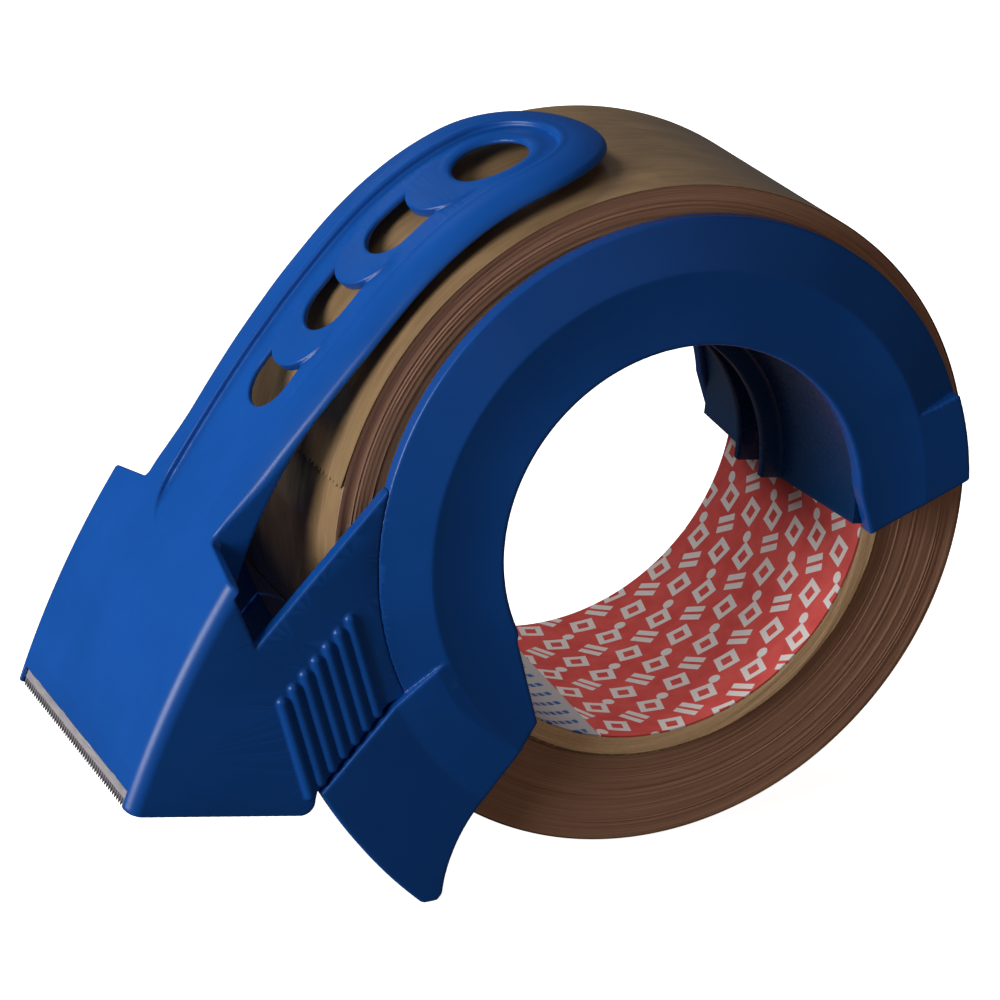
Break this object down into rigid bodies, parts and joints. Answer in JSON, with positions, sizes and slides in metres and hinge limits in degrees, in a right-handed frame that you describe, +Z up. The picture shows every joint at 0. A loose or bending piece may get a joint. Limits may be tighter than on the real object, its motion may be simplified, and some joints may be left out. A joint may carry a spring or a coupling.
{
  "type": "packing tape dispenser",
  "caption": "Hand-held packing tape dispenser: two C-shaped side plates hold a tape roll, a wedge nose carries a serrated blade, and a slotted brake arm follows the roll.",
  "frame": {"origin": "at mid width in the hand opening, at the centre of the brake arm's curve, about 1 mm from the roll's axis", "axes": "+Y along the roll's axis, with the near side plate towards -Y; -X towards the nose and blade; +Z up, towards the brake arm"},
  "size_m": [0.1536, 0.0628, 0.1209],
  "materials": {
    "body_plastic": "satin moulded polypropylene, royal blue",
    "blade_steel": "rolled steel strip with fine ground teeth",
    "cardboard": "matte grey-brown core board, spiral wound; wood stands in for cardboard",
    "printed_liner": "matte coated paper with a plain repeated pattern",
    "tape_inner": "slightly crinkled film, golden brown",
    "tape_film": "glossy brown packing film, wound in fine layers"
  },
  "bodies": {
    "body": {"nose_housing": "body_plastic", "tack_bar": "body_plastic", "cutter_blade": "blade_steel"},
    "arm": {"brake_arm": "body_plastic"},
    "near_jaw": {"near_side_plate": "body_plastic", "near_hub_collar": "body_plastic"},
    "far_jaw": {"far_side_plate": "body_plastic", "far_hub_collar": "body_plastic"},
    "roll": {"tape_core": "cardboard", "core_liner": "printed_liner", "tape_first_wraps": "tape_inner", "tape_winding": "tape_film", "tape_free_end": "tape_film"}
  },
  "joints": [
    {"name": "roll_spin", "type": "hinge", "parent": "body", "child": "roll", "pos_m": [0.0012, 0, -0.0004], "axis": [0, 1, 0], "continuous": true},
    {"name": "arm_flex", "type": "hinge", "parent": "body", "child": "arm", "pos_m": [-0.0737, 0, 0.0039], "axis": [0, -1, 0], "range_deg": [-0.4, 10]},
    {"name": "near_jaw_flex", "type": "hinge", "parent": "body", "child": "near_jaw", "pos_m": [-0.0615, -0.0292, -0.0362], "axis": [-0.2358, 0, -0.9718], "range_deg": [0, 12]},
    {"name": "far_jaw_flex", "type": "hinge", "parent": "body", "child": "far_jaw", "pos_m": [-0.0615, 0.0292, -0.0362], "axis": [0.2358, 0, 0.9718], "range_deg": [0, 12]}
  ]
}
